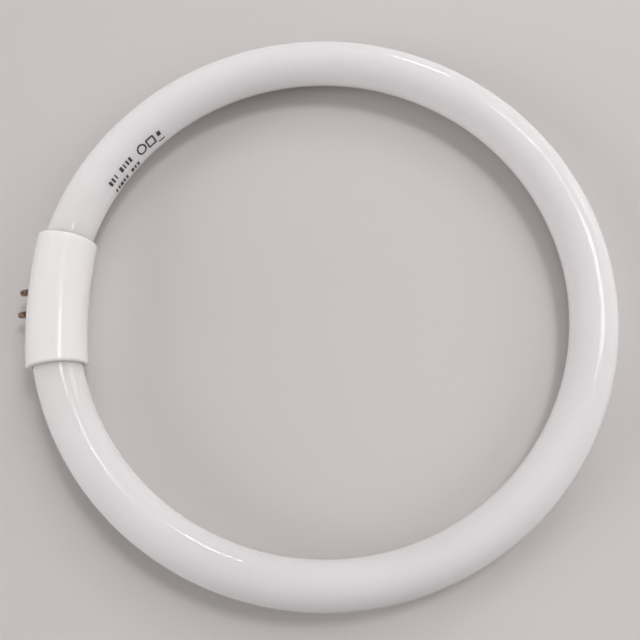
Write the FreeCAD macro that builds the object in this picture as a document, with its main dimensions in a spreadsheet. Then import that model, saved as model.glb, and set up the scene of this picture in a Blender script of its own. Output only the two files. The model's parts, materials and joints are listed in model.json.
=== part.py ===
import FreeCAD, Part
import math
import os

import Sketcher
from FreeCAD import Vector

# Ring lamp: a glass tube bent to a circle, whose two sealed ends meet in a moulded sleeve with four pins.
# Origin at the ring's centre on the tube's centreline, +Z up, sleeve at -X, pins outward and downward.

# Driving dimensions in millimetres and degrees
SIZES = [
    ("ring_mean_radius", 93.0, "ring centre to tube centreline"),
    ("tube_diameter", 16.0, "glass tube, outside"),
    ("tube_end_gap", 24.0, "between the two sealed ends"),
    ("tube_end_round", 3.0, "rounding of a sealed end"),
    ("exhaust_tip_diameter", 4.2, "sealed-off exhaust tip at its root"),
    ("exhaust_tip_end_diameter", 2.6, "exhaust tip at its rounded end"),
    ("exhaust_tip_length", 3.6, "exhaust tip beyond the glass end"),
    ("exhaust_tip_root", 1.0, "depth of the tip's root in the glass"),
    ("sleeve_length", 45.4, "base sleeve along its centreline"),
    ("sleeve_bend_radius", 170.0, "bend of the sleeve's centreline"),
    ("sleeve_inset", 1.05, "sleeve's middle inside the tube centreline"),
    ("sleeve_room", 0.95, "between glass and sleeve wall"),
    ("sleeve_wall", 1.2, "wall of the sleeve"),
    ("sleeve_rim_round", 0.8, "rounding of the sleeve's two rims"),
    ("mouth_wall", 3.0, "length of the collar at each mouth"),
    ("mouth_clearance", 0.3, "between glass and collar"),
    ("parting_tilt", 20.0, "turn of the sleeve about the tube"),
    ("lip_height", 0.9, "locating lip above the parting plane"),
    ("lip_thickness", 0.55, "locating lip, part of the wall"),
    ("lip_clearance", 0.1, "around the locating lip"),
    ("seam_height", 0.2, "shadow line along the parting plane"),
    ("seam_depth", 0.3, "depth of the shadow line"),
    ("stop_rib_thickness", 1.4, "rib that stops a sealed end"),
    ("stop_rib_depth", 1.8, "rib's overlap with the end of the glass"),
    ("stop_rib_clearance", 0.4, "between rib and glass end"),
    ("hook_set", 1.05, "snap hook inside the sleeve wall"),
    ("hook_thickness", 1.0, "tongue of a snap hook"),
    ("hook_barb", 0.5, "barb of a snap hook"),
    ("hook_ramp", 1.15, "sloping height of the barb"),
    ("hook_gap", 0.15, "between hook and catch"),
    ("hook_side_gap", 0.36, "between hook and pin flanges"),
    ("catch_height", 1.0, "catch under the barb"),
    ("facet_depth", 2.05, "pin facet below the round of the sleeve"),
    ("pin_plate_thickness", 2.4, "wall that holds the pins"),
    ("pin_angle", 45.0, "pins below the parting plane"),
    ("pin_pitch_along", 7.92, "pin spacing along the tube"),
    ("pin_pitch_across", 6.35, "pin spacing across the tube"),
    ("pin_diameter", 2.38, "contact pin"),
    ("pin_length", 6.5, "contact pin beyond the facet"),
    ("pin_seat_diameter", 2.7, "pin where the wall holds it"),
    ("pin_seat_clearance", 0.05, "around the pin in the wall"),
    ("pin_flange_diameter", 3.6, "flange of a pin inside the sleeve"),
    ("pin_flange_thickness", 0.6, "flange of a pin"),
    ("pin_bore_diameter", 1.4, "bore of a hollow pin"),
    ("pin_tip_hole_diameter", 0.8, "hole through the pin's domed tip"),
    ("lead_diameter", 0.5, "lead-in wire"),
    ("lead_spacing", 5.6, "between the two leads of a glass end"),
    ("lead_straight", 2.6, "lead's straight run out of the glass"),
    ("lead_run_in", 4.2, "lead's straight run before the pin"),
    ("lead_bend", 1.6, "bend radius of a lead"),
    ("lead_setback", 0.2, "lead's end below the pin's tip"),
]

doc = FreeCAD.newDocument("ring_lamp")
sheet = doc.addObject("Spreadsheet::Sheet", "Sizes")
for row, (alias, number, meaning) in enumerate(SIZES, start=1):
    sheet.set(f"A{row}", meaning)
    sheet.set(f"B{row}", str(number))
    sheet.setAlias(f"B{row}", alias)
doc.recompute()

# Dimensions that follow from the sheet
TUBE_RADIUS = "(Sizes.tube_diameter / 2)"
CAVITY_RADIUS = f"({TUBE_RADIUS} + Sizes.sleeve_room)"
SLEEVE_RADIUS = f"({CAVITY_RADIUS} + Sizes.sleeve_wall)"
MID_WALL_RADIUS = f"({CAVITY_RADIUS} + Sizes.sleeve_wall / 2)"
SLEEVE_MID = "(Sizes.ring_mean_radius - Sizes.sleeve_inset)"
END_ANGLE = "(asin(Sizes.tube_end_gap / 2 / Sizes.ring_mean_radius) / 1 deg)"
GLASS_ANGLE = f"(360 - 2 * {END_ANGLE})"
DEGREES_PER_LENGTH = "(180 / pi / Sizes.sleeve_bend_radius)"
SLEEVE_ANGLE = f"(Sizes.sleeve_length * {DEGREES_PER_LENGTH})"
CAVITY_ANGLE = f"((Sizes.sleeve_length - 2 * Sizes.mouth_wall) * {DEGREES_PER_LENGTH})"
LIP_ANGLE = f"((Sizes.sleeve_length - Sizes.mouth_wall) * {DEGREES_PER_LENGTH})"
REBATE_ANGLE = f"({LIP_ANGLE} + 2 * Sizes.lip_clearance * {DEGREES_PER_LENGTH})"
LIP_RADIUS = f"({CAVITY_RADIUS} + Sizes.lip_thickness)"
REBATE_RADIUS = f"({LIP_RADIUS} + Sizes.lip_clearance)"
REBATE_HEIGHT = "(Sizes.lip_height + Sizes.lip_clearance)"
RIB_FACE = "(Sizes.tube_end_gap / 2 - Sizes.stop_rib_clearance)"
RIB_MIDDLE = f"({RIB_FACE} - Sizes.stop_rib_thickness / 2)"
RIB_BORE_RADIUS = f"({TUBE_RADIUS} - Sizes.stop_rib_depth)"
FACET_DISTANCE = f"({SLEEVE_RADIUS} - Sizes.facet_depth)"
PLATE_FACE = f"({FACET_DISTANCE} - Sizes.pin_plate_thickness)"
FACET_HALF_LENGTH = f"({RIB_FACE} - Sizes.stop_rib_thickness - Sizes.sleeve_wall)"
HOOK_WIDTH = "(Sizes.pin_pitch_along - Sizes.pin_flange_diameter - 2 * Sizes.hook_side_gap)"
HOOK_OUTSIDE = f"({CAVITY_RADIUS} - Sizes.hook_set)"
HOOK_INSIDE = f"({HOOK_OUTSIDE} - Sizes.hook_thickness)"
HOOK_ROOT = f"sqrt({MID_WALL_RADIUS}^2 - {HOOK_INSIDE}^2)"
CATCH_BOTTOM = f"({REBATE_HEIGHT} + Sizes.hook_gap)"
CATCH_TOP = f"({CATCH_BOTTOM} + Sizes.catch_height)"
BARB_BOTTOM = f"({HOOK_ROOT} + {CATCH_TOP} + Sizes.hook_gap)"
HOOK_TOP = f"({BARB_BOTTOM} + Sizes.hook_ramp)"
PIN_RADIUS = "(Sizes.pin_diameter / 2)"
PIN_SEAT_RADIUS = "(Sizes.pin_seat_diameter / 2)"
PIN_SEAT_TOP = "(Sizes.pin_flange_thickness + Sizes.pin_plate_thickness)"
PIN_TOP = f"({PIN_SEAT_TOP} + Sizes.pin_length)"
PIN_DOME = f"({PIN_TOP} - {PIN_RADIUS})"
PIN_TIP_HOLE_RADIUS = "(Sizes.pin_tip_hole_diameter / 2)"
TIP_END_RADIUS = "(Sizes.exhaust_tip_end_diameter / 2)"
TIP_TOP = "(Sizes.exhaust_tip_root + Sizes.exhaust_tip_length)"

TURN_X = "vector(1; 0; 0)"
TURN_Y = "vector(0; 1; 0)"
TURN_Z = "vector(0; 0; 1)"


def value(expression):
    """The number that an expression on the sheet gives now."""
    result = sheet.evalExpression(expression)
    return float(getattr(result, "Value", result))


def place(x="0", y="0", z="0", turn=TURN_Z, angle="0"):
    """The text of a placement: a position and a turn about one axis."""
    return f"placement(vector({x}; {y}; {z}); rotation({turn}; {angle}))"


def make(kind, name, placement=None, **sizes):
    """A document object whose properties are bound to expressions."""
    item = doc.addObject(kind, name)
    for prop, expression in sizes.items():
        item.setExpression(prop, expression)
    if placement:
        item.setExpression("Placement", placement)
    return item


def cut(name, base, tool):
    """The base less the tool."""
    item = doc.addObject("Part::Cut", name)
    item.Base = base
    item.Tool = tool
    return item


def fuse(name, items):
    """The items joined to one solid."""
    item = doc.addObject("Part::MultiFuse", name)
    item.Shapes = items
    return item


def common(name, first, second):
    """What two items share."""
    item = doc.addObject("Part::Common", name)
    item.Base = first
    item.Tool = second
    return item


def bound_constraint(sketch, kind, *where, size):
    """A dimension in a sketch that follows the sheet."""
    index = sketch.addConstraint(Sketcher.Constraint(kind, *where, value(size)))
    sketch.setExpression(f"Constraints[{index}]", size)


def upright_sketch(body, name):
    """A sketch on the body's own XZ plane."""
    sketch = body.newObject("Sketcher::SketchObject", name)
    plane = next(item for item in body.Origin.OriginFeatures if item.Role == "XZ_Plane")
    sketch.AttachmentSupport = (plane, "")
    sketch.MapMode = "FlatFace"
    return sketch


def outline_sketch(body, name, corners):
    """A closed outline. A third entry in a corner is the height of an arc's centre on the vertical axis:
    the arc runs from that corner to the next one, whose height then follows from the arc."""
    sketch = upright_sketch(body, name)
    points = [Vector(value(corner[0]), value(corner[1]), 0) for corner in corners]
    for index, corner in enumerate(corners):
        start = points[index]
        end = points[(index + 1) % len(corners)]
        if len(corner) == 3:
            centre = Vector(0, value(corner[2]), 0)
            circle = Part.Circle(centre, Vector(0, 0, 1), (start - centre).Length)
            sketch.addGeometry(Part.ArcOfCircle(circle, circle.parameter(start), circle.parameter(end)))
        else:
            sketch.addGeometry(Part.LineSegment(start, end))
    for index in range(len(corners)):
        following = (index + 1) % len(corners)
        sketch.addConstraint(Sketcher.Constraint("Coincident", index, 2, following, 1))
    for index, corner in enumerate(corners):
        if corner[0] == "0":
            sketch.addConstraint(Sketcher.Constraint("PointOnObject", index, 1, -2))
        else:
            bound_constraint(sketch, "DistanceX", -1, 1, index, 1, size=corner[0])
        if len(corners[index - 1]) == 3:
            continue
        if corner[1] == "0":
            sketch.addConstraint(Sketcher.Constraint("PointOnObject", index, 1, -1))
        else:
            bound_constraint(sketch, "DistanceY", -1, 1, index, 1, size=corner[1])
        if len(corner) == 3:
            sketch.addConstraint(Sketcher.Constraint("PointOnObject", index, 3, -2))
            bound_constraint(sketch, "DistanceY", -1, 1, index, 3, size=corner[2])
    return sketch


def turned_body(name, corners, placement):
    """A body turned about its own Z axis from an outline of radii and heights."""
    body = make("PartDesign::Body", name, placement)
    revolution = body.newObject("PartDesign::Revolution", name + "_turning")
    revolution.Profile = outline_sketch(body, name + "_outline", corners)
    revolution.ReferenceAxis = (revolution.Profile[0], ["V_Axis"])
    revolution.Angle = 360
    return body


def bent_rod(name, bend_radius, rod_radius, angle, end_round, placement):
    """A round rod bent about its body's Z axis, middle on +X, with rounded ends."""
    body = make("PartDesign::Body", name, placement)
    sketch = upright_sketch(body, name + "_section")
    centre = Vector(value(bend_radius), 0, 0)
    circle = sketch.addGeometry(Part.Circle(centre, Vector(0, 0, 1), value(rod_radius)))
    sketch.addConstraint(Sketcher.Constraint("PointOnObject", circle, 3, -1))
    bound_constraint(sketch, "DistanceX", -1, 1, circle, 3, size=bend_radius)
    bound_constraint(sketch, "Radius", circle, size=rod_radius)
    revolution = body.newObject("PartDesign::Revolution", name + "_bend")
    revolution.Profile = sketch
    revolution.ReferenceAxis = (sketch, ["V_Axis"])
    revolution.Midplane = True
    revolution.setExpression("Angle", angle)
    doc.recompute()
    rims = []
    for index, edge in enumerate(revolution.Shape.Edges, start=1):
        is_circle = isinstance(edge.Curve, Part.Circle)
        if is_circle and abs(edge.Curve.Radius - value(rod_radius)) < Part.Precision.confusion():
            rims.append(f"Edge{index}")
    fillet = body.newObject("PartDesign::Fillet", name + "_rounding")
    fillet.Base = (revolution, rims)
    fillet.setExpression("Radius", end_round)
    return body


def bent_core(name, radius, angle):
    """A plain rod along the sleeve's centreline."""
    return make(
        "Part::Torus", name, f"arc_frame.Placement * {place(angle=f'-{angle} / 2')}",
        Radius1="Sizes.sleeve_bend_radius", Radius2=radius, Angle3=angle,
    )


def slab(name, bottom, top):
    """A slab parallel to the parting plane, larger than the sleeve."""
    width = f"(2 * {SLEEVE_RADIUS})"
    return make(
        "Part::Box", name,
        f"base_frame.Placement * {place(f'-{width}', '-Sizes.sleeve_length', bottom)}",
        Length=f"2 * {width}", Width="2 * Sizes.sleeve_length", Height=f"{top} - {bottom}",
    )


# Frames: the sleeve's bend, its parting plane, its pins, and the two sealed ends of the glass
make("App::Placement", "arc_frame", place(f"Sizes.sleeve_bend_radius - {SLEEVE_MID}", angle="180"))
make("App::Placement", "base_frame", place(f"-{SLEEVE_MID}", turn=TURN_Y, angle="Sizes.parting_tilt"))
make("App::Placement", "pin_frame",
     f"base_frame.Placement * {place(turn=TURN_Y, angle='180 - Sizes.pin_angle')}")
SIDES = {1: "", -1: "-"}
end_frames = {}
for side, sign in SIDES.items():
    end_frames[side] = make(
        "App::Placement", "end_frame_1" if side > 0 else "end_frame_2",
        place(f"-Sizes.ring_mean_radius * cos({END_ANGLE})", f"{sign}Sizes.tube_end_gap / 2",
              angle=f"-({sign}(90 + {END_ANGLE}))"),
    )
doc.recompute()

# Glass tube, with the exhaust tip that closes each end
glass_ring = bent_rod("glass_ring", "Sizes.ring_mean_radius", TUBE_RADIUS, GLASS_ANGLE,
                      "Sizes.tube_end_round", place())
exhaust_tips = []
for end_frame in end_frames.values():
    exhaust_tips.append(turned_body(
        end_frame.Name.replace("end_frame", "exhaust_tip"),
        [("0", "0"),
         ("Sizes.exhaust_tip_diameter / 2", "0"),
         (TIP_END_RADIUS, f"{TIP_TOP} - {TIP_END_RADIUS}", f"{TIP_TOP} - {TIP_END_RADIUS}"),
         ("0", TIP_TOP)],
        f"{end_frame.Name}.Placement * {place('-Sizes.exhaust_tip_root', turn=TURN_Y, angle='90')}",
    ))
glass_tube = fuse("glass_tube", [glass_ring] + exhaust_tips)

# Sleeve before it is parted: hollow, bored for the glass, with its stop ribs and pin wall
sleeve_form = bent_rod("sleeve_form", "Sizes.sleeve_bend_radius", SLEEVE_RADIUS, SLEEVE_ANGLE,
                       "Sizes.sleeve_rim_round", "arc_frame.Placement")
mouth_bore = make(
    "Part::Torus", "mouth_bore", place(angle=f"-{GLASS_ANGLE} / 2"),
    Radius1="Sizes.ring_mean_radius", Radius2=f"{TUBE_RADIUS} + Sizes.mouth_clearance", Angle3=GLASS_ANGLE,
)
sleeve_hollow = cut("sleeve_hollow", sleeve_form, bent_core("sleeve_cavity", CAVITY_RADIUS, CAVITY_ANGLE))
sleeve_bored = cut("sleeve_bored", sleeve_hollow, mouth_bore)
stop_ribs = []
for side, sign in SIDES.items():
    stop_ribs.append(turned_body(
        "stop_rib_1" if side > 0 else "stop_rib_2",
        [(RIB_BORE_RADIUS, "0"),
         (MID_WALL_RADIUS, "0"),
         (MID_WALL_RADIUS, "Sizes.stop_rib_thickness"),
         (RIB_BORE_RADIUS, "Sizes.stop_rib_thickness")],
        f"arc_frame.Placement * {place(angle=f'{sign}{RIB_MIDDLE} * {DEGREES_PER_LENGTH}')}"
        f" * {place('Sizes.sleeve_bend_radius', 'Sizes.stop_rib_thickness / 2', turn=TURN_X, angle='90')}",
    ))
pin_wall_block = make(
    "Part::Box", "pin_wall_block",
    f"pin_frame.Placement * {place(PLATE_FACE, f'-{RIB_MIDDLE}', f'-{SLEEVE_RADIUS}')}",
    Length=f"{SLEEVE_RADIUS} - {PLATE_FACE}", Width=f"2 * {RIB_MIDDLE}", Height=f"2 * {SLEEVE_RADIUS}",
)
pin_wall = common("pin_wall", pin_wall_block, sleeve_form)
sleeve = fuse("sleeve", [sleeve_bored, pin_wall] + stop_ribs)

# Parting: the lower half takes a lip along the inside of the wall, the upper half a rebate for it
below = slab("below_parting", f"-2 * {SLEEVE_RADIUS}", "0")
lip_core = common("lip_core", bent_core("lip_rod", LIP_RADIUS, LIP_ANGLE),
                  slab("lip_slab", "-Sizes.lip_height", "Sizes.lip_height"))
rebate_core = common("rebate_core", bent_core("rebate_rod", REBATE_RADIUS, REBATE_ANGLE),
                     slab("rebate_slab", "-Sizes.lip_height", REBATE_HEIGHT))
lower_half = common("lower_half", sleeve, fuse("lower_side", [below, lip_core]))
upper_half = cut("upper_half", sleeve, fuse("lower_side_with_room", [below, rebate_core]))

# Snap hooks of the lower half and catches of the upper half, on the inner and the outer side
hooks = []
catches = []
for side, angle in (("inner", "0"), ("outer", "180")):
    side_frame = f"base_frame.Placement * {place(angle=angle)}"
    hook = make("PartDesign::Body", f"{side}_hook", f"{side_frame} * {place(z=f'-{HOOK_ROOT}')}")
    pad = hook.newObject("PartDesign::Pad", f"{side}_hook_pad")
    pad.Profile = outline_sketch(
        hook, f"{side}_hook_outline",
        [(HOOK_INSIDE, "0"),
         (HOOK_OUTSIDE, "0"),
         (HOOK_OUTSIDE, BARB_BOTTOM),
         (f"{HOOK_OUTSIDE} + Sizes.hook_barb", BARB_BOTTOM),
         (HOOK_OUTSIDE, HOOK_TOP),
         (HOOK_INSIDE, HOOK_TOP)],
    )
    pad.Midplane = True
    pad.setExpression("Length", HOOK_WIDTH)
    hooks.append(common(f"{side}_hook_in_sleeve", hook, sleeve_form))
    catch_face = f"({HOOK_OUTSIDE} + Sizes.hook_gap)"
    catches.append(make(
        "Part::Box", f"{side}_catch",
        f"{side_frame} * {place(catch_face, f'-{HOOK_WIDTH} / 2', CATCH_BOTTOM)}",
        Length=f"{MID_WALL_RADIUS} - {catch_face}", Width=HOOK_WIDTH, Height="Sizes.catch_height",
    ))

# Upper shell, with a fine shadow line along the seam
seam = cut("seam", slab("seam_slab", "-Sizes.seam_height", "Sizes.seam_height"),
           bent_core("seam_rod", f"{SLEEVE_RADIUS} - Sizes.seam_depth", f"2 * {SLEEVE_ANGLE}"))
base_upper_shell = cut("base_upper_shell", fuse("upper_half_with_catches", [upper_half] + catches), seam)

# Contact pins, each in its seat in the pin wall: two rows of two, the upper row first
PIN_ROWS = ("-", "")
pins = []
pin_seats = []
for row_sign in PIN_ROWS:
    for side, sign in SIDES.items():
        number = len(pins) + 1
        seat_place = place(f"{PLATE_FACE} - Sizes.pin_flange_thickness",
                           f"{sign}Sizes.pin_pitch_along / 2", f"{row_sign}Sizes.pin_pitch_across / 2",
                           turn=TURN_Y, angle="90")
        pin = turned_body(
            f"contact_pin_{number}",
            [("Sizes.pin_bore_diameter / 2", "0"),
             ("Sizes.pin_flange_diameter / 2", "0"),
             ("Sizes.pin_flange_diameter / 2", "Sizes.pin_flange_thickness"),
             (PIN_SEAT_RADIUS, "Sizes.pin_flange_thickness"),
             (PIN_SEAT_RADIUS, PIN_SEAT_TOP),
             (PIN_RADIUS, PIN_SEAT_TOP),
             (PIN_RADIUS, PIN_DOME, PIN_DOME),
             (PIN_TIP_HOLE_RADIUS, f"{PIN_DOME} + sqrt({PIN_RADIUS}^2 - {PIN_TIP_HOLE_RADIUS}^2)"),
             (PIN_TIP_HOLE_RADIUS, PIN_DOME),
             ("Sizes.pin_bore_diameter / 2", PIN_DOME)],
            f"pin_frame.Placement * {seat_place}",
        )
        pins.append((side, pin))
        pin_seats.append(make(
            "Part::Cylinder", f"pin_seat_{number}", f"pin_frame.Placement * {seat_place}",
            Radius=f"{PIN_SEAT_RADIUS} + Sizes.pin_seat_clearance", Height=PIN_TOP,
        ))

# Lower shell, with the flat pin facet cut into its outer side
facet = make(
    "Part::Box", "facet",
    f"pin_frame.Placement * {place(FACET_DISTANCE, f'-{FACET_HALF_LENGTH}', f'-{SLEEVE_RADIUS}')}",
    Length=SLEEVE_RADIUS, Width=f"2 * {FACET_HALF_LENGTH}", Height=f"2 * {SLEEVE_RADIUS}",
)
base_lower_shell = cut("base_lower_shell", fuse("lower_half_with_hooks", [lower_half] + hooks),
                       fuse("pin_cuts", [facet] + pin_seats))
doc.recompute()


def rounded_path(points, bend_radius):
    """A wire along the points, with a tangent arc at each corner."""
    edges = []
    start = points[0]
    for before, corner, after in zip(points, points[1:], points[2:]):
        back = (before - corner).normalize()
        ahead = (after - corner).normalize()
        half_angle = back.getAngle(ahead) / 2
        setback = bend_radius / math.tan(half_angle)
        bisector = (back + ahead).normalize()
        to_centre = (bend_radius ** 2 + setback ** 2) ** 0.5
        arc_start = corner + back * setback
        arc_end = corner + ahead * setback
        edges.append(Part.makeLine(start, arc_start))
        edges.append(Part.Arc(arc_start, corner + bisector * (to_centre - bend_radius), arc_end).toShape())
        start = arc_end
    edges.append(Part.makeLine(start, points[-1]))
    return Part.Wire(edges)


# Lead-in wires: out of the sealed glass end, across the chamber and through the hollow pin
across_rows = doc.pin_frame.Placement.Rotation.multVec(Vector(0, 0, 1))
leads = []
for number, (side, pin) in enumerate(pins, start=1):
    end = end_frames[side].Placement
    out_of_glass = end.Rotation.multVec(Vector(1, 0, 0))
    row_offset = across_rows - out_of_glass * across_rows.dot(out_of_glass)
    row_offset = row_offset.normalize() * value("Sizes.lead_spacing / 2")
    is_upper_row = number <= len(SIDES)
    glass_exit = end.Base - row_offset if is_upper_row else end.Base + row_offset
    pin_entry = pin.Placement.multVec(Vector(0, 0, -value("Sizes.lead_run_in")))
    pin_tip = pin.Placement.multVec(Vector(0, 0, value(f"{PIN_TOP} - Sizes.lead_setback")))
    route = [glass_exit, glass_exit + out_of_glass * value("Sizes.lead_straight"), pin_entry, pin_tip]
    section = Part.Wire(Part.makeCircle(value("Sizes.lead_diameter / 2"), glass_exit, out_of_glass))
    lead = doc.addObject("Part::Feature", f"lead_wire_{number}")
    lead.Shape = rounded_path(route, value("Sizes.lead_bend")).makePipeShell([section], True, True)
    leads.append(lead)
doc.recompute()

for item in doc.Objects:
    if "Invalid" in item.State or "Error" in item.State:
        raise RuntimeError(f"{item.Name} failed: {item.State}")

sub_parts = [glass_tube, base_upper_shell, base_lower_shell] + [pin for side, pin in pins] + leads
for item in sub_parts:
    item.Label = item.Name
    if item.Shape.isNull() or not item.Shape.isValid() or len(item.Shape.Solids) != 1:
        raise RuntimeError(f"{item.Label} is not one valid solid")

os.makedirs("parts", exist_ok=True)
for item in sub_parts:
    item.Shape.exportStep(f"parts/{item.Label}.step")
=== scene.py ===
"""Looks of a ring-shaped fluorescent tube, built around its packed solids.

The glass ring, its print, the base sleeve, the contact pins and the stage each have an operator.
"""

import json
import math

import bpy
from mathutils import Matrix, Vector


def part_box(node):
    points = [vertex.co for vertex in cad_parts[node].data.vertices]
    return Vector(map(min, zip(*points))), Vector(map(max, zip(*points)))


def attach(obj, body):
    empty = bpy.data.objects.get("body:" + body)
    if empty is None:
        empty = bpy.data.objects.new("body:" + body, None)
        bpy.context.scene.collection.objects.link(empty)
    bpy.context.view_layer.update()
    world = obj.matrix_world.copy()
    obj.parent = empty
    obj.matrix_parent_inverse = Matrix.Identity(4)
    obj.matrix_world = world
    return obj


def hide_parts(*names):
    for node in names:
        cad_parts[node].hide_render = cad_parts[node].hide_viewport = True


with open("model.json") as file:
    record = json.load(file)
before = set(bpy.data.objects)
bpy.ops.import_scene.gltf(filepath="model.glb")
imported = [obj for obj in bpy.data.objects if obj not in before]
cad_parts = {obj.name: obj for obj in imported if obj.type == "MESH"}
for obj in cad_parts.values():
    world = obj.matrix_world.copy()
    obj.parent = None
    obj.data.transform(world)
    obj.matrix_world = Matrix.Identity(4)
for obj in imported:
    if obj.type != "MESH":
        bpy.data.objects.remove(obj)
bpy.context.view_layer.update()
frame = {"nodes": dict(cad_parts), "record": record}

bl_info = {
    "name": "Ring Tube Finish",
    "version": (1, 0, 0),
    "blender": (4, 5, 0),
    "location": "View3D > Sidebar > Ring Tube",
    "description": "Dresses the solids of a circular fluorescent tube",
    "category": "Object",
}

BODY = "root"
MM = 0.001

WELD = 0.001 * MM
GLASS_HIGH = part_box("glass_tube")[1]
TUBE_RADIUS = GLASS_HIGH.z
RING_RADIUS = GLASS_HIGH.x - TUBE_RADIUS
SLEEVE_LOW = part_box("base_lower_shell")[0]
PIN_NAMES = ("contact_pin_1", "contact_pin_2", "contact_pin_3", "contact_pin_4")
PIN_MOUNTS = [mount for mount in frame["record"]["mounts"] if mount["name"].startswith("pin_")]
PIN_CENTRE = sum((Vector(mount["pos_m"]) for mount in PIN_MOUNTS), Vector()) / len(PIN_MOUNTS)
PIN_AXIS = Vector(PIN_MOUNTS[0]["axis"])
PIN_SIZES = PIN_MOUNTS[0]["dims"]
LEAD_NAMES = ("lead_wire_1", "lead_wire_2", "lead_wire_3", "lead_wire_4")
SHELL_NAMES = ("base_upper_shell", "base_lower_shell")


# Sizes and colours that a user would change


def length(name, description, default):
    """A length property in metres."""
    return bpy.props.FloatProperty(
        name=name, description=description, default=default, precision=5, unit="LENGTH", subtype="DISTANCE"
    )


def angle(name, description, degrees):
    """An angle property, given in degrees."""
    return bpy.props.FloatProperty(
        name=name, description=description, default=math.radians(degrees), unit="ROTATION", subtype="ANGLE"
    )


def share(name, description, default):
    """A property from 0 to 1."""
    return bpy.props.FloatProperty(
        name=name, description=description, default=default, min=0.0, max=1.0, subtype="FACTOR"
    )


def count(name, description, default):
    """A whole number property."""
    return bpy.props.IntProperty(name=name, description=description, default=default, min=1)


def colour(name, description, default):
    """A linear colour property."""
    return bpy.props.FloatVectorProperty(
        name=name, description=description, default=default, min=0.0, max=1.0, subtype="COLOR"
    )


class GlassSettings(bpy.types.PropertyGroup):
    """The bent tube and its coat."""

    ring_radius: length("Ring Radius", "Radius of the tube's centreline", RING_RADIUS)
    tube_radius: length("Tube Radius", "Outside radius of the glass", TUBE_RADIUS)
    end_gap: length("End Gap", "Distance between the two closed ends", 24 * MM)
    end_round: length("End Round", "Rounding of each closed end", 3 * MM)
    tip_length: length("Tip Length", "Sealed tip beyond each end", 3.6 * MM)
    tip_root: length("Tip Root", "Radius of the sealed tip at the end", 2.1 * MM)
    tip_end: length("Tip End", "Radius of the sealed tip at its far end", 1.3 * MM)
    rows: count("Rows", "Rows of faces along the tube", 432)
    sides: count("Sides", "Faces round the tube", 80)
    coat: colour("Coat", "White powder coat behind the glass", (0.768, 0.738, 0.745))
    coat_shade: colour("Coat Shade", "Thinner patches of the coat", (0.733, 0.704, 0.711))
    coat_end: colour("Coat End", "Greyer coat near the two ends", (0.708, 0.678, 0.674))


class PrintSettings(bpy.types.PropertyGroup):
    """Plain marks printed on the glass."""

    start: angle("Start", "Place round the ring where the rows begin", 151.4)
    section: angle("Section", "Place round the tube of the middle of the print", 163.0)
    row_pitch: length("Row Pitch", "Distance between the two rows of bars", 4.4 * MM)
    bar_pitch: length("Bar Pitch", "Distance between the bars of a row", 1.6 * MM)
    bar_height: length("Bar Height", "Height of a bar", 2.0 * MM)
    upper_bars: count("Upper Bars", "Bars in the upper row", 8)
    lower_bars: count("Lower Bars", "Bars in the lower row", 9)
    frame_size: length("Frame Size", "Width of the plain ring and of the plain square", 3.4 * MM)
    stroke: length("Stroke", "Line width of the ring and the square", 0.6 * MM)
    film: length("Film", "Thickness of the ink film, half of it in the surface", 0.06 * MM)
    seed: count("Seed", "Seed of the bars' widths", 7)
    ink: colour("Ink", "Colour of the ink", (0.018, 0.017, 0.018))
    worn_ink: colour("Worn Ink", "Ink where its cover is thin", (0.075, 0.073, 0.075))


class SleeveSettings(bpy.types.PropertyGroup):
    """The moulded base sleeve."""

    plastic: colour("Plastic", "White moulded plastic", (0.895, 0.860, 0.852))
    plastic_shade: colour("Plastic Shade", "Slightly duller patches of the plastic", (0.875, 0.841, 0.833))


class PinSettings(bpy.types.PropertyGroup):
    """Hollow contact pins, their solder beads and the lead wires."""

    pitch_along: length("Pitch Along", "Pin spacing along the tube", 7.92 * MM)
    pitch_across: length("Pitch Across", "Pin spacing across the tube", 6.35 * MM)
    radius: length("Pin Radius", "Outside radius of a pin", PIN_SIZES["r_mm"] * MM)
    straight: length("Straight", "Straight run of a pin outside the base", PIN_SIZES["length_mm"] * MM)
    bore: length("Bore Radius", "Radius of a pin's bore", 0.7 * MM)
    tip_hole: length("Tip Hole", "Radius of the hole in a pin's domed tip", 0.4 * MM)
    seat: length("Seat Radius", "Radius of a pin where the base holds it", 1.35 * MM)
    plate: length("Plate", "Thickness of the wall that holds a pin", 2.4 * MM)
    flange: length("Flange Radius", "Radius of a pin's flange inside the base", 1.8 * MM)
    flange_height: length("Flange Height", "Thickness of the flange", 0.6 * MM)
    sides: count("Sides", "Faces round a pin", 40)
    brass: colour("Brass", "Bare metal of the pins", (0.520, 0.335, 0.235))
    # This colour paints the random tarnish patches and also the painted shade near the base.
    tarnish_and_shade: colour("Tarnish", "Darkened metal of the pins", (0.080, 0.044, 0.030))
    solder: colour("Solder", "Metal of the beads in the pins' tips", (0.400, 0.395, 0.390))
    frost: colour("Frost", "Dull skin of the beads", (0.240, 0.235, 0.230))
    nickel: colour("Nickel", "Metal of the lead wires", (0.520, 0.500, 0.470))
    dull_nickel: colour("Dull Nickel", "Darker patches of the lead wires", (0.360, 0.340, 0.320))


class StageSettings(bpy.types.PropertyGroup):
    """Floor, light and camera."""

    floor: colour("Floor", "Pale table top", (0.649, 0.610, 0.606))
    lens: bpy.props.FloatProperty(
        name="Lens", description="Focal length on a 36 mm sensor", default=41.47, subtype="DISTANCE_CAMERA"
    )
    sky: share("Sky", "Strength of the soft light from all round", 0.02)
    backdrop: share("Backdrop", "Brightness of what shows beyond the floor", 0.60)


# Node trees


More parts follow.
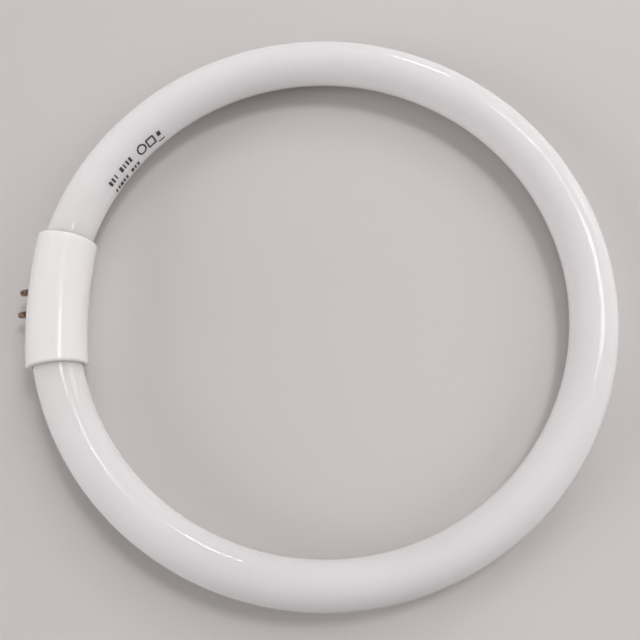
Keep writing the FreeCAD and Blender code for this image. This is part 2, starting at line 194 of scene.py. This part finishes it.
class Value:
    """An output socket of a node. Sums and products of values add Math nodes to its tree."""

    def __init__(self, web, socket):
        self.web = web
        self.socket = socket

    def math(self, operation, first, second=0.0, clamp=False):
        settings = {"operation": operation, "use_clamp": clamp}
        return self.web.add("ShaderNodeMath", settings, {0: first, 1: second})

    def __add__(self, other):
        return self.math("ADD", self, other)

    def __radd__(self, other):
        return self.math("ADD", other, self)

    def __sub__(self, other):
        return self.math("SUBTRACT", self, other)

    def __rsub__(self, other):
        return self.math("SUBTRACT", other, self)

    def __mul__(self, other):
        return self.math("MULTIPLY", self, other)

    def __rmul__(self, other):
        return self.math("MULTIPLY", other, self)

    def __truediv__(self, other):
        return self.math("DIVIDE", self, other)

    def __rtruediv__(self, other):
        return self.math("DIVIDE", other, self)

    def cos(self):
        return self.math("COSINE", self)

    def sin(self):
        return self.math("SINE", self)

    def arcsin(self):
        return self.math("ARCSINE", self)

    def arccos(self):
        return self.math("ARCCOSINE", self)

    def root(self):
        return self.math("SQRT", self)

    def least(self, other):
        return self.math("MINIMUM", self, other)

    def clamped(self):
        return self.math("ADD", self, 0.0, clamp=True)

    def between(self, start, end):
        """0 up to start, 1 from end on, and even between them."""
        return ((self - start) / (end - start)).clamped()


class Web:
    """A node tree and the one way in which nodes are added to it."""

    def __init__(self, tree):
        self.tree = tree

    def add(self, kind, settings=None, sockets=None, out=0):
        """Adds a node, sets its settings, then its sockets, and returns one of its outputs."""
        node = self.tree.nodes.new(kind)
        for name, setting in (settings or {}).items():
            setattr(node, name, setting)
        for key, given in (sockets or {}).items():
            if isinstance(given, Value):
                self.tree.links.new(given.socket, node.inputs[key])
            else:
                node.inputs[key].default_value = given
        return Value(self, node.outputs[out]) if node.outputs else node

    def other(self, link, name):
        """Another output of the node that a value comes from."""
        return Value(self, link.socket.node.outputs[name])

    def parts(self, link):
        """The x, y and z of a vector."""
        x = self.add("ShaderNodeSeparateXYZ", None, {0: link})
        return x, self.other(x, "Y"), self.other(x, "Z")

    def vector(self, x, y, z):
        return self.add("ShaderNodeCombineXYZ", None, {0: x, 1: y, 2: z})


class Growth(Web):
    """A geometry tree with named sizes."""

    def __init__(self, name):
        super().__init__(bpy.data.node_groups.new(name, "GeometryNodeTree"))
        self.tree.interface.new_socket("Geometry", in_out="OUTPUT", socket_type="NodeSocketGeometry")
        self.entry = self.tree.nodes.new("NodeGroupInput")
        self.sizes = {}

    def size(self, name, number):
        """A named input of the tree and the number that it is given."""
        kind = "NodeSocketInt" if isinstance(number, int) else "NodeSocketFloat"
        self.tree.interface.new_socket(name, in_out="INPUT", socket_type=kind)
        self.sizes[name] = number
        return Value(self, self.entry.outputs[name])

    def close(self, geometry, material):
        """Ends the tree with plain smooth faces in one material."""
        real = self.add("GeometryNodeRealizeInstances", None, {0: geometry})
        smooth = self.add("GeometryNodeSetShadeSmooth", None, {"Geometry": real})
        dressed = self.add("GeometryNodeSetMaterial", None, {"Geometry": smooth, "Material": material})
        end = self.tree.nodes.new("NodeGroupOutput")
        self.tree.links.new(dressed.socket, end.inputs["Geometry"])

    def grow(self, piece_name):
        """Runs the tree once and keeps its result as a plain mesh object at the origin."""
        piece = bpy.data.objects.new(piece_name, bpy.data.meshes.new(piece_name))
        bpy.context.scene.collection.objects.link(piece)
        modifier = piece.modifiers.new(self.tree.name, "NODES")
        modifier.node_group = self.tree
        for item in self.tree.interface.items_tree:
            if item.name in self.sizes:
                modifier[item.identifier] = self.sizes[item.name]
        graph = bpy.context.evaluated_depsgraph_get()
        mesh = bpy.data.meshes.new_from_object(
            piece.evaluated_get(graph), preserve_all_data_layers=True, depsgraph=graph
        )
        piece.modifiers.remove(modifier)
        piece.data = mesh
        mesh.name = piece_name
        if not mesh.polygons:
            raise RuntimeError(f"{piece_name} has no faces")
        return piece


class Finish(Web):
    """A material with one Principled shader."""

    def __init__(self, name, **uniform):
        self.material = bpy.data.materials.new(name)
        self.material.use_nodes = True
        super().__init__(self.material.node_tree)
        self.tree.nodes.clear()
        self.shader = self.tree.nodes.new("ShaderNodeBsdfPrincipled")
        output = self.tree.nodes.new("ShaderNodeOutputMaterial")
        self.tree.links.new(self.shader.outputs["BSDF"], output.inputs["Surface"])
        for label, number in uniform.items():
            socket = label.replace("_", " ").title().replace("Ior", "IOR")
            self.shader.inputs[socket].default_value = number
        self.place = self.add("ShaderNodeTexCoord", None, None, "Object")

    def feed(self, socket, link):
        """Links what changes over the surface to a socket of the shader."""
        self.tree.links.new(link.socket, self.shader.inputs[socket])

    def noise(self, scale=1.0, detail=2.0, roughness=0.5, where=None):
        """Smooth noise from 0 to 1, with scale in cells per metre or per unit of where."""
        sockets = {"Vector": where or self.place, "Scale": scale, "Detail": detail, "Roughness": roughness}
        return self.add("ShaderNodeTexNoise", None, sockets)

    def stretched(self, where, scale):
        """Coordinates scaled apart along their axes."""
        return self.add("ShaderNodeMapping", None, {"Vector": where, "Scale": scale})

    def mixed(self, factor, first, second):
        """A colour between two colours."""
        sockets = {0: factor, 6: first, 7: second}
        return self.add("ShaderNodeMix", {"data_type": "RGBA"}, sockets, 2)

    def bump(self, height, strength, distance):
        """A normal from a height field."""
        sockets = {"Height": height, "Strength": strength, "Distance": distance}
        return self.add("ShaderNodeBump", None, sockets)


def opaque(tone):
    """A colour property as the four numbers that a colour socket takes."""
    return (tone[0], tone[1], tone[2], 1.0)


# Finishes


def coated_glass(look):
    """White powder coat behind clear drawn glass."""
    finish = Finish(
        "coated_glass", coat_weight=1.0, coat_roughness=0.02, coat_ior=1.5, specular_ior_level=0.0,
        subsurface_weight=1.0, subsurface_radius=(1.0, 1.0, 1.0), subsurface_scale=10 * MM,
    )
    chart = finish.add("ShaderNodeTexCoord", None, None, "UV")
    along, _, _ = finish.parts(chart)
    run = look.ring_radius * (2.0 * math.pi - 2.0 * math.asin(look.end_gap / 2.0 / look.ring_radius))
    # From 12 to 38 mm from each end of the glass, next to the sleeve, the coat changes to the darker,
    # warmer end colour.
    inner = along.least(run - along).between(start=12 * MM, end=38 * MM)
    clouds = finish.noise(scale=22.0, detail=3.0)
    powder = finish.noise(scale=1600.0, roughness=0.6)
    thick = (clouds * 0.8 + powder * 0.2).between(start=0.36, end=0.68)
    cloudy = finish.mixed(thick, opaque(look.coat_shade), opaque(look.coat))
    finish.feed("Base Color", finish.mixed(inner, opaque(look.coat_end), cloudy))
    finish.feed("Roughness", 0.42 + powder * 0.12)
    drawn = finish.stretched(chart, scale=(70.0, 45.0, 1.0))
    ripple = finish.noise(detail=1.0, roughness=0.4, where=drawn)
    finish.feed("Normal", finish.bump(ripple, strength=0.35, distance=0.12 * MM))
    return finish.material


def print_ink(look):
    """Matt black ink with slightly patchy cover."""
    finish = Finish("print_ink", ior=1.45)
    patches = finish.noise(scale=2600.0, detail=3.0, roughness=0.6)
    thin = patches.between(start=0.35, end=0.75)
    finish.feed("Base Color", finish.mixed(thin, opaque(look.ink), opaque(look.worn_ink)))
    finish.feed("Roughness", 0.45 + patches * 0.25)
    return finish.material


def gloss_plastic(look):
    """Glossy white moulding with faint flow streaks and a fine skin."""
    finish = Finish(
        "base_plastic", coat_weight=1.0, coat_roughness=0.05, coat_ior=1.5, specular_ior_level=0.1,
        subsurface_weight=0.5, subsurface_radius=(1.0, 1.0, 1.0), subsurface_scale=2 * MM,
    )
    streaks = finish.stretched(finish.place, scale=(420.0, 26.0, 420.0))
    flow = finish.noise(detail=3.0, roughness=0.55, where=streaks)
    skin = finish.noise(scale=900.0)
    bright = flow.between(start=0.3, end=0.7)
    finish.feed("Base Color", finish.mixed(bright, opaque(look.plastic_shade), opaque(look.plastic)))
    finish.feed("Roughness", 0.13 + flow * 0.08 + skin * 0.03)
    finish.feed("Normal", finish.bump(skin * 0.5 + flow * 0.5, strength=0.10, distance=0.04 * MM))
    return finish.material


def pin_brass(look):
    """Drawn brass, tarnished in patches, with painted shade that darkens it near the base."""
    finish = Finish("pin_brass", metallic=1.0)
    patches = finish.noise(scale=700.0, detail=4.0, roughness=0.6)
    drawn = finish.noise(where=finish.stretched(finish.place, scale=(900.0, 6000.0, 900.0)))
    x, _, z = finish.parts(finish.place)
    outward = (x - PIN_CENTRE.x) * PIN_AXIS.x + (z - PIN_CENTRE.z) * PIN_AXIS.z
    # Painted shade: the pins get darker towards the base they stand out of, added to the random tarnish
    # patches.
    root = 1.0 - (outward / look.straight).between(start=-0.3, end=0.3)
    tarnish_and_shade_mask = (patches * 0.75 + drawn * 0.25 + root * 0.12).between(start=0.38, end=0.66)
    finish.feed("Base Color", finish.mixed(tarnish_and_shade_mask, opaque(look.brass), opaque(look.tarnish_and_shade)))
    finish.feed("Roughness", 0.26 + tarnish_and_shade_mask * 0.22)
    finish.feed("Normal", finish.bump(drawn, strength=0.15, distance=0.03 * MM))
    return finish.material


def dull_solder(look):
    """Grey solder with a frosted skin."""
    finish = Finish("dull_solder", metallic=1.0)
    frost = finish.noise(scale=3500.0, detail=3.0)
    finish.feed("Base Color", finish.mixed(frost, opaque(look.solder), opaque(look.frost)))
    finish.feed("Roughness", 0.32 + frost * 0.25)
    return finish.material


def lead_nickel(look):
    """Dull nickel wire."""
    finish = Finish("lead_nickel", metallic=1.0)
    patches = finish.noise(scale=1500.0, detail=3.0)
    finish.feed("Base Color", finish.mixed(patches, opaque(look.nickel), opaque(look.dull_nickel)))
    finish.feed("Roughness", 0.3 + patches * 0.2)
    return finish.material


def pale_floor(look):
    """Pale table top with a faint speckle, and painted light and shade that make it a little darker
    towards the left.
    """
    finish = Finish("pale_floor", ior=1.3)
    speckle = finish.noise(scale=1400.0)
    x, _, _ = finish.parts(finish.place)
    # Painted light and shade: the floor colour runs from a darker tone on the left to a lighter one on the
    # right, standing in for uneven light.
    painted_light_slope = x.between(start=-0.12, end=0.12)
    darkest, lightest, grain = 0.975, 1.02, 0.08
    painted_shade_floor = opaque([part * darkest for part in look.floor])
    light = opaque([part * lightest for part in look.floor])
    finish.feed("Base Color", finish.mixed(painted_light_slope * (1.0 - grain) + speckle * grain, painted_shade_floor, light))
    finish.feed("Roughness", 0.55 + speckle * 0.1)
    return finish.material


def black_card():
    """Matt black card with a faint grain."""
    finish = Finish("black_card", specular_ior_level=0.0)
    grain = finish.noise(scale=300.0)
    black, grey = (0.015, 0.015, 0.015), (0.030, 0.030, 0.030)
    finish.feed("Base Color", finish.mixed(grain, opaque(black), opaque(grey)))
    return finish.material


# Pieces


def adopt(piece, slot, *nodes):
    """Ties a finished piece to the frame and lets it stand for solids."""
    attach(piece, BODY)
    if nodes:
        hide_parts(*nodes)


def dress(name, material):
    """Gives a packed solid its finish."""
    node = frame["nodes"][name]
    node.data.materials.clear()
    node.data.materials.append(material)


def tube_growth(glass, material):
    """A grid wrapped round the ring: sealed tip, rounded end, even run, and the same back again."""
    growth = Growth("Bent glass tube")
    ring = growth.size("Ring Radius", glass.ring_radius)
    tube = growth.size("Tube Radius", glass.tube_radius)
    gap = growth.size("End Gap", glass.end_gap)
    rounding = growth.size("End Round", glass.end_round)
    tip = growth.size("Tip Length", glass.tip_length)
    tip_root = growth.size("Tip Root", glass.tip_root)
    tip_end = growth.size("Tip End", glass.tip_end)
    rows = growth.size("Rows", glass.rows)
    sides = growth.size("Sides", glass.sides)
    grid = growth.add(
        "GeometryNodeMeshGrid", None, {"Vertices X": rows + 1.0, "Vertices Y": sides + 1.0}
    )
    across, around, _ = growth.parts(growth.other(grid, "UV Map"))
    row = across * rows
    tip_row, foot_row, flat_row, even_row = 1.0, 2.0, 3.0, 15.0

    def reach(index):
        """How far along the tube a row is from the far end of its tip."""
        turn = index.between(flat_row, even_row) * (math.pi / 2)
        return tip * index.between(tip_row, foot_row) + rounding * (1.0 - turn.cos())

    nearest = row.least(rows - row)
    turn = nearest.between(flat_row, even_row) * (math.pi / 2)
    radius = (
        tip_end * nearest.between(0.0, tip_row)
        + (tip_root - tip_end) * nearest.between(tip_row, foot_row)
        + (tube - rounding - tip_root) * nearest.between(foot_row, flat_row)
        + rounding * turn.sin()
    )
    end_turn = (gap / 2.0 / ring).arcsin()
    run = ring * (2.0 * math.pi - end_turn * 2.0)
    travel = (
        reach(row)
        + (run - rounding * 2.0) * row.between(even_row, rows - even_row)
        + (tip + rounding - reach(rows - row))
        - tip
    )
    theta = travel / ring + end_turn + math.pi
    phi = around * (2.0 * math.pi)
    distance = ring + radius * phi.cos()
    wrapped = growth.vector(distance * theta.cos(), distance * theta.sin(), radius * phi.sin())
    chart = growth.add(
        "GeometryNodeStoreNamedAttribute",
        {"data_type": "FLOAT2", "domain": "CORNER"},
        {"Geometry": grid, "Name": "UVMap", "Value": growth.vector(travel, phi * tube, 0.0)},
    )
    placed = growth.add("GeometryNodeSetPosition", None, {"Geometry": chart, "Position": wrapped})
    merged = growth.add("GeometryNodeMergeByDistance", None, {"Geometry": placed, "Distance": WELD})
    growth.close(merged, material)
    return growth


def print_growth(look, glass, material):
    """Two rows of plain bars, a ring, a square and two short bars, drawn flat and bent round the glass."""
    growth = Growth("Printed marks")
    ring = growth.size("Ring Radius", glass.ring_radius)
    tube = growth.size("Tube Radius", glass.tube_radius)
    start = growth.size("Start", look.start)
    section = growth.size("Section", look.section)
    row_pitch = growth.size("Row Pitch", look.row_pitch)
    pitch = growth.size("Bar Pitch", look.bar_pitch)
    height = growth.size("Bar Height", look.bar_height)
    upper = growth.size("Upper Bars", look.upper_bars)
    lower = growth.size("Lower Bars", look.lower_bars)
    frame_size = growth.size("Frame Size", look.frame_size)
    stroke = growth.size("Stroke", look.stroke)
    film = growth.size("Film", look.film)
    seed = growth.size("Seed", look.seed)
    loop_points = 48
    index = growth.add("GeometryNodeInputIndex")
    block = growth.add(
        "GeometryNodeMeshCube", None,
        {"Size": (1.0, 1.0, 1.0), "Vertices X": 4, "Vertices Y": 6, "Vertices Z": 2},
    )
    profile = growth.add(
        "GeometryNodeCurvePrimitiveQuadrilateral", None, {"Width": stroke, "Height": film}
    )

    def row(bars, blank, level, own_seed):
        """Bars of different widths side by side, with one place left blank."""
        line = growth.add(
            "GeometryNodeMeshLine", None,
            {"Count": bars, "Start Location": growth.vector(pitch * 0.5, level, 0.0),
             "Offset": growth.vector(pitch, 0.0, 0.0)},
        )
        unlike = {"data_type": "INT", "operation": "NOT_EQUAL"}
        filled = growth.add("FunctionNodeCompare", unlike, {2: index, 3: blank})
        narrowest, widest = 0.3, 0.78
        chosen = {2: narrowest, 3: widest, 8: own_seed}
        width = growth.add("FunctionNodeRandomValue", {"data_type": "FLOAT"}, chosen, 1)
        return growth.add(
            "GeometryNodeInstanceOnPoints", None,
            {"Points": line, "Selection": filled, "Instance": block,
             "Scale": growth.vector(width * pitch, height, film)},
        )

    def outline(path, x, y):
        """A closed line of ink at a place on the flat print."""
        even = growth.add("GeometryNodeResampleCurve", None, {"Curve": path, "Count": loop_points})
        drawn = growth.add("GeometryNodeCurveToMesh", None, {"Curve": even, "Profile Curve": profile})
        moved = {"Geometry": drawn, "Translation": growth.vector(x, y, 0.0)}
        return growth.add("GeometryNodeTransform", None, moved)

    def bar(x, y, width, tall):
        """One bar at a place on the flat print."""
        return growth.add(
            "GeometryNodeTransform", None,
            {"Geometry": block, "Translation": growth.vector(x, y, 0.0),
             "Scale": growth.vector(width, tall, film)},
        )

    circle = growth.add(
        "GeometryNodeCurvePrimitiveCircle", None, {"Resolution": loop_points, "Radius": frame_size * 0.5}
    )
    edge = frame_size * 0.9
    square = growth.add("GeometryNodeCurvePrimitiveQuadrilateral", None, {"Width": edge, "Height": edge})
    row_end = pitch * lower
    last = row_end + frame_size * 3.4
    shapes = [
        row(upper, blank=3, level=row_pitch * 0.5, own_seed=seed),
        row(lower, blank=5, level=row_pitch * -0.5, own_seed=seed + 1.0),
        outline(circle, x=row_end + frame_size * 0.95, y=row_pitch * 0.36),
        outline(square, x=row_end + frame_size * 2.25, y=row_pitch * 0.30),
        bar(x=last, y=row_pitch * 0.42, width=frame_size * 0.45, tall=frame_size * 0.5),
        bar(x=last, y=row_pitch * -0.28, width=frame_size * 0.8, tall=stroke),
    ]
    joined = growth.tree.nodes.new("GeometryNodeJoinGeometry")
    for shape in reversed(shapes):
        growth.tree.links.new(shape.socket, joined.inputs[0])
    real = growth.add("GeometryNodeRealizeInstances", None, {0: Value(growth, joined.outputs[0])})
    along, level, depth = growth.parts(growth.add("GeometryNodeInputPosition"))
    theta = start - along / (ring + tube * section.cos())
    phi = section - level / tube
    radius = tube + depth
    distance = ring + radius * phi.cos()
    bent = growth.vector(distance * theta.cos(), distance * theta.sin(), radius * phi.sin())
    wrapped = growth.add("GeometryNodeSetPosition", None, {"Geometry": real, "Position": bent})
    growth.close(wrapped, material)
    return growth


class RINGTUBE_OT_glass(bpy.types.Operator):
    """Sweep the coated glass ring between its two sealed ends"""

    bl_idname = "ringtube.glass"
    bl_label = "Glass Ring"

    def execute(self, context):
        look = context.scene.ringtube_glass
        piece = tube_growth(look, coated_glass(look)).grow("glass_ring")
        adopt(piece, "coated_glass", "glass_tube")
        return {"FINISHED"}


class RINGTUBE_OT_print(bpy.types.Operator):
    """Print plain marks on the glass near the base"""

    bl_idname = "ringtube.print"
    bl_label = "Printed Marks"

    def execute(self, context):
        look = context.scene.ringtube_print
        piece = print_growth(look, context.scene.ringtube_glass, print_ink(look)).grow("printed_marks")
        adopt(piece, "coated_glass")
        return {"FINISHED"}


class RINGTUBE_OT_sleeve(bpy.types.Operator):
    """Finish both halves of the moulded base sleeve"""

    bl_idname = "ringtube.sleeve"
    bl_label = "Base Sleeve"

    def execute(self, context):
        plastic = gloss_plastic(context.scene.ringtube_sleeve)
        for name in SHELL_NAMES:
            dress(name, plastic)
        return {"FINISHED"}


def turned_on_pins(growth, look, corners, closed, material):
    """An outline of radii and heights turned into a body and set on every pin place, tilted outward."""
    along = growth.size("Pitch Along", look.pitch_along)
    across = growth.size("Pitch Across", look.pitch_across)
    sides = growth.size("Sides", look.sides)
    if closed:
        corners = corners + corners[:1]
    steps = len(corners) - 1
    grid = growth.add(
        "GeometryNodeMeshGrid", None, {"Vertices X": steps + 1, "Vertices Y": sides + 1.0}
    )
    step, around, _ = growth.parts(growth.other(grid, "UV Map"))
    step = step * float(steps)
    radius, height = corners[0]
    for number in range(steps):
        share_done = step.between(float(number), number + 1.0)
        radius = radius + (corners[number + 1][0] - corners[number][0]) * share_done
        height = height + (corners[number + 1][1] - corners[number][1]) * share_done
    phi = around * (2.0 * math.pi)
    turned = growth.vector(radius * phi.cos(), radius * phi.sin(), height)
    placed = growth.add("GeometryNodeSetPosition", None, {"Geometry": grid, "Position": turned})
    merged = growth.add("GeometryNodeMergeByDistance", None, {"Geometry": placed, "Distance": WELD})
    places = growth.add(
        "GeometryNodeMeshGrid", None, {"Size X": across, "Size Y": along, "Vertices X": 2, "Vertices Y": 2}
    )
    standing = growth.add("GeometryNodeInstanceOnPoints", None, {"Points": places, "Instance": merged})
    tilted = growth.add(
        "GeometryNodeTransform", None,
        {"Geometry": standing, "Translation": PIN_CENTRE,
         "Rotation": (0.0, math.atan2(PIN_AXIS.x, PIN_AXIS.z), 0.0)},
    )
    growth.close(tilted, material)
    return growth


def pin_growth(look, material):
    """Hollow pins: flange, seat, straight run and domed tip with its hole, and the bore back down."""
    growth = Growth("Contact pins")
    radius = growth.size("Pin Radius", look.radius)
    straight = growth.size("Straight", look.straight)
    bore = growth.size("Bore Radius", look.bore)
    hole = growth.size("Tip Hole", look.tip_hole)
    seat = growth.size("Seat Radius", look.seat)
    plate = growth.size("Plate", look.plate)
    flange = growth.size("Flange Radius", look.flange)
    flange_height = growth.size("Flange Height", look.flange_height)
    face = straight * -0.5
    dome = straight * 0.5
    back = face - plate
    hole_turn = (hole / radius).arccos()
    dome_steps = 9
    corners = [
        (bore, back - flange_height),
        (flange, back - flange_height),
        (flange, back),
        (seat, back),
        (seat, face),
        (radius, face),
    ]
    for number in range(dome_steps + 1):
        turn = hole_turn * (number / dome_steps)
        corners.append((radius * turn.cos(), dome + radius * turn.sin()))
    corners += [(hole, dome), (bore, dome)]
    return turned_on_pins(growth, look, corners, True, material)


def bead_growth(look, material):
    """Solder beads that fill the holes of the pins' tips round the leads."""
    growth = Growth("Solder beads")
    radius = growth.size("Pin Radius", look.radius)
    straight = growth.size("Straight", look.straight)
    hole = growth.size("Tip Hole", look.tip_hole)
    dome = straight * 0.5
    rim = dome + (radius * radius - hole * hole).root()
    fullness = 0.8
    rise = (radius + dome - rim) * fullness
    middle = hole * 0.0
    corners = [(middle, dome), (hole, dome), (hole, rim)]
    bead_steps = 5
    for number in range(1, bead_steps + 1):
        turn = number / bead_steps * math.pi / 2
        corners.append((hole * math.cos(turn), rim + rise * math.sin(turn)))
    return turned_on_pins(growth, look, corners, False, material)


class RINGTUBE_OT_pins(bpy.types.Operator):
    """Turn the contact pins and their solder beads, and finish the lead wires inside them"""

    bl_idname = "ringtube.pins"
    bl_label = "Contact Pins"

    def execute(self, context):
        look = context.scene.ringtube_pins
        adopt(pin_growth(look, pin_brass(look)).grow("contact_pins"), "pin_metal", *PIN_NAMES)
        adopt(bead_growth(look, dull_solder(look)).grow("solder_beads"), "lead_metal")
        nickel = lead_nickel(look)
        for name in LEAD_NAMES:
            dress(name, nickel)
        return {"FINISHED"}


# Stage


def floor_plane(look):
    """The table top, just under the sleeve's belly and the glass opposite it."""
    reach = 2.0
    clearance = 0.02 * MM
    fall = (TUBE_RADIUS + SLEEVE_LOW.z) / (RING_RADIUS * 2.0)

    def height(x):
        return -TUBE_RADIUS - clearance - fall * (x - RING_RADIUS)

    corners = [(-reach, -reach), (reach, -reach), (reach, reach), (-reach, reach)]
    mesh = bpy.data.meshes.new("floor")
    mesh.from_pydata([(x, y, height(x)) for x, y in corners], [], [(0, 1, 2, 3)])
    mesh.materials.append(pale_floor(look))
    floor = bpy.data.objects.new("floor", mesh)
    bpy.context.scene.collection.objects.link(floor)
    return floor


def front_flag():
    """A card that no camera sees, which shades the near side of the ring from the front boxes."""
    half_width, near, foot, top = 0.25, -0.17, 0.015, 0.10
    ends = [(-half_width, foot), (half_width, foot), (half_width, top), (-half_width, top)]
    mesh = bpy.data.meshes.new("front_flag")
    mesh.from_pydata([(x, near, z) for x, z in ends], [], [(0, 1, 2, 3)])
    mesh.materials.append(black_card())
    flag = bpy.data.objects.new("front_flag", mesh)
    bpy.context.scene.collection.objects.link(flag)
    flag.visible_camera = False
    flag.visible_diffuse = False
    flag.visible_glossy = False


# Lamps: name, place, width and height in metres, and power in watts
GLASS_PANEL = ("glass_panel", (1.50, 0.955, 3.0), (1.08, 0.88), 13.8)
BASE_PANEL = ("base_panel", (1.335, 1.31, 3.0), (0.975, 0.805), 12.0)
MIRRORED_PANELS = (
    ("near_edge", (0.335, 0.452, 0.80), (0.22, 0.05), 0.15),
    ("ceiling_corner", (0.825, 1.545, 3.0), (0.50, 0.24), 2.0),
    ("ceiling_edge", (1.20, 2.10, 2.80), (0.90, 0.80), 1.6),
    ("far_window", (0.878, 2.77, 1.951), (0.58, 0.46), 7.0),
    ("low_lamp", (2.55, 1.65, 0.95), (1.20, 0.50), 2.45),
)
SOFT_BOXES = (
    ("key_box", (0.90, 1.29, 3.0), (0.60, 0.60), 14.0),
    ("top_box", (0.0, 0.0, 3.3), (2.4, 2.4), 4.5),
    ("back_box", (0.0, 2.54, 2.11), (2.2, 2.2), 27.0),
    ("back_left_box", (-1.905, 1.905, 1.905), (2.2, 2.2), 3.2),
    ("back_right_box", (1.905, 1.905, 1.905), (2.2, 2.2), 7.2),
    ("right_box", (2.685, 0.0, 1.918), (2.2, 2.2), 22.0),
    ("low_left_box", (-3.05, -0.61, 1.10), (1.6, 1.6), 48.0),
    ("low_right_box", (2.97, 0.95, 1.07), (1.6, 1.6), 9.1),
)
FRONT_BOXES = (
    ("front_box", (0.0, -2.685, 1.918), (2.2, 2.2), 28.0),
    ("front_right_box", (1.905, -1.905, 1.905), (2.2, 2.2), 13.0),
)
FLOOR_SHARE = 0.5
SEEN_PLACE = (-0.00268, -0.06731, 0.24640)
SEEN_FORWARD = (0.00443, 0.23996, -0.97077)
SEEN_RIGHT = (1.0, -0.0012, 0.0049)
SENSOR_WIDTH = 36.0


def gathered(name, items):
    """A collection that only says which objects a lamp deals with."""
    group = bpy.data.collections.new(name)
    for item in items:
        group.objects.link(item)
    return group


def panel_light(name, place, size, watts, mirrored, lit=(), blockers=None):
    """A rectangular lamp that faces the object, and shows in glossy surfaces or not.

    It lights the objects in lit, or all, and only the collection in blockers casts its shadows, or all do.
    """
    data = bpy.data.lights.new(name, "AREA")
    data.shape = "RECTANGLE"
    data.size, data.size_y = size
    data.energy = watts
    lamp = bpy.data.objects.new(name, data)
    bpy.context.scene.collection.objects.link(lamp)
    back = Vector(place).normalized()
    across = Vector((0.0, 1.0, 0.0)).cross(back).normalized()
    turn = Matrix((across, back.cross(across), back)).transposed()
    lamp.matrix_world = Matrix.Translation(place) @ turn.to_4x4()
    lamp.visible_glossy = mirrored
    if lit:
        lamp.light_linking.receiver_collection = gathered(name, lit)
    if blockers:
        lamp.light_linking.blocker_collection = blockers


def soft_sky(look):
    """Faint light from all round, with an even pale backdrop where it is seen."""
    world = bpy.data.worlds.new("soft_sky")
    world.use_nodes = True
    bpy.context.scene.world = world
    web = Web(world.node_tree)
    web.tree.nodes.clear()
    camera_ray = web.add("ShaderNodeLightPath", None, None, "Is Camera Ray")
    glossy_ray = web.other(camera_ray, "Is Glossy Ray")
    clear_ray = web.other(camera_ray, "Is Transmission Ray")
    seen = (camera_ray + glossy_ray + clear_ray).clamped()
    strength = seen * look.backdrop + (1.0 - seen) * look.sky
    light = web.add("ShaderNodeBackground", None, {"Color": (1.0, 1.0, 1.0, 1.0), "Strength": strength})
    web.add("ShaderNodeOutputWorld", None, {"Surface": light})


def photo_camera(lens):
    """The camera at the photograph's viewing angle."""
    data = bpy.data.cameras.new("camera")
    data.lens = lens
    data.sensor_width = SENSOR_WIDTH
    data.clip_start = 5 * MM
    camera = bpy.data.objects.new("camera", data)
    bpy.context.scene.collection.objects.link(camera)
    forward = Vector(SEEN_FORWARD).normalized()
    right = Vector(SEEN_RIGHT)
    right = (right - forward * right.dot(forward)).normalized()
    up = right.cross(forward)
    turn = Matrix((right, up, -forward)).transposed()
    camera.matrix_world = Matrix.Translation(SEEN_PLACE) @ turn.to_4x4()
    bpy.context.scene.camera = camera


class RINGTUBE_OT_stage(bpy.types.Operator):
    """Lay the table top, hang the lights and set the camera"""

    bl_idname = "ringtube.stage"
    bl_label = "Stage"

    def execute(self, context):
        look = context.scene.ringtube_stage
        context.scene.view_settings.view_transform = "Standard"
        floor = floor_plane(look)
        soft_sky(look)
        solid = [item for item in context.scene.objects if item.type == "MESH"]
        raised = [item for item in solid if item != floor]
        glass = [item for item in solid if item.name in ("glass_ring", "printed_marks")]
        others = [item for item in solid if item not in glass]
        blockers = gathered("shadow_casters", solid)
        front_flag()
        panel_light(*GLASS_PANEL, mirrored=True, lit=glass, blockers=blockers)
        panel_light(*BASE_PANEL, mirrored=True, lit=others, blockers=blockers)
        for lamp in MIRRORED_PANELS:
            panel_light(*lamp, mirrored=True, blockers=blockers)
        for lamp in SOFT_BOXES:
            panel_light(*lamp, mirrored=False, blockers=blockers)
        for lamp in FRONT_BOXES:
            panel_light(*lamp, mirrored=False, lit=raised)
        for name, place, size, watts in FRONT_BOXES:
            below = (name + "_on_floor", place, size, watts * FLOOR_SHARE)
            panel_light(*below, mirrored=False, lit=[floor], blockers=blockers)
        photo_camera(look.lens)
        return {"FINISHED"}


# Add-on

OPERATORS = (
    RINGTUBE_OT_glass, RINGTUBE_OT_print, RINGTUBE_OT_sleeve, RINGTUBE_OT_pins, RINGTUBE_OT_stage,
)
SETTINGS = {
    "ringtube_glass": GlassSettings,
    "ringtube_print": PrintSettings,
    "ringtube_sleeve": SleeveSettings,
    "ringtube_pins": PinSettings,
    "ringtube_stage": StageSettings,
}


class RINGTUBE_PT_panel(bpy.types.Panel):
    """Operators and sizes of the ring tube"""

    bl_idname = "RINGTUBE_PT_panel"
    bl_label = "Ring Tube"
    bl_space_type = "VIEW_3D"
    bl_region_type = "UI"
    bl_category = "Ring Tube"

    def draw(self, context):
        for operator in OPERATORS:
            self.layout.operator(operator.bl_idname)
        for name, group in SETTINGS.items():
            box = self.layout.box()
            box.label(text=group.__doc__)
            for prop in group.__annotations__:
                box.prop(getattr(context.scene, name), prop)


def register():
    for group in SETTINGS.values():
        bpy.utils.register_class(group)
    for name, group in SETTINGS.items():
        setattr(bpy.types.Scene, name, bpy.props.PointerProperty(type=group))
    for kind in OPERATORS + (RINGTUBE_PT_panel,):
        bpy.utils.register_class(kind)


def unregister():
    for kind in (RINGTUBE_PT_panel,) + OPERATORS[::-1]:
        bpy.utils.unregister_class(kind)
    for name, group in SETTINGS.items():
        delattr(bpy.types.Scene, name)
        bpy.utils.unregister_class(group)


def main():
    register()
    bpy.ops.ringtube.glass()
    bpy.ops.ringtube.print()
    bpy.ops.ringtube.sleeve()
    bpy.ops.ringtube.pins()
    bpy.ops.ringtube.stage()


if __name__ == "__main__":
    main()
